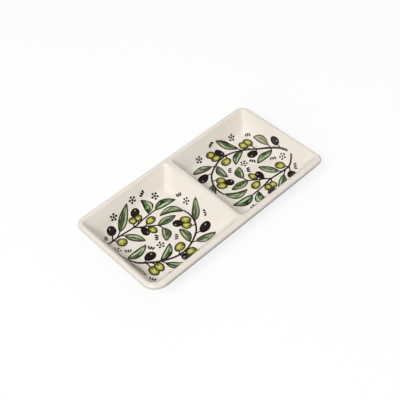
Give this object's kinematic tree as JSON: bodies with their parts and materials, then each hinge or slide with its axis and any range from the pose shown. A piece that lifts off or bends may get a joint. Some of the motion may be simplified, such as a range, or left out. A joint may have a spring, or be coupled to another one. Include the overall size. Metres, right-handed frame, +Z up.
{
  "type": "olive dish",
  "caption": "Low rectangular glazed ceramic dish with square wells side by side, flared walls, a rounded rim and painted olive branches, for serving olives and small bites.",
  "frame": {"origin": "middle of the dish on the table, at the feet's bearing plane", "axes": "+X along the length from the left well to the right well, +Y across the width, +Z up"},
  "size_m": [0.2, 0.1, 0.026],
  "materials": {
    "clay": "matte",
    "glaze": "gloss",
    "stem_paint": "gloss",
    "leaf_paint": "gloss",
    "green_olive_paint": "gloss",
    "black_olive_paint": "gloss",
    "mark_paint": "gloss"
  },
  "bodies": {
    "root": {"clay_body": "clay", "glaze_coat": "glaze", "left_stems": "stem_paint", "left_leaves": "leaf_paint", "left_green_olives": "green_olive_paint", "left_black_olives": "black_olive_paint", "left_marks": "mark_paint", "right_stems": "stem_paint", "right_leaves": "leaf_paint", "right_green_olives": "green_olive_paint", "right_black_olives": "black_olive_paint", "right_marks": "mark_paint"}
  },
  "joints": []
}
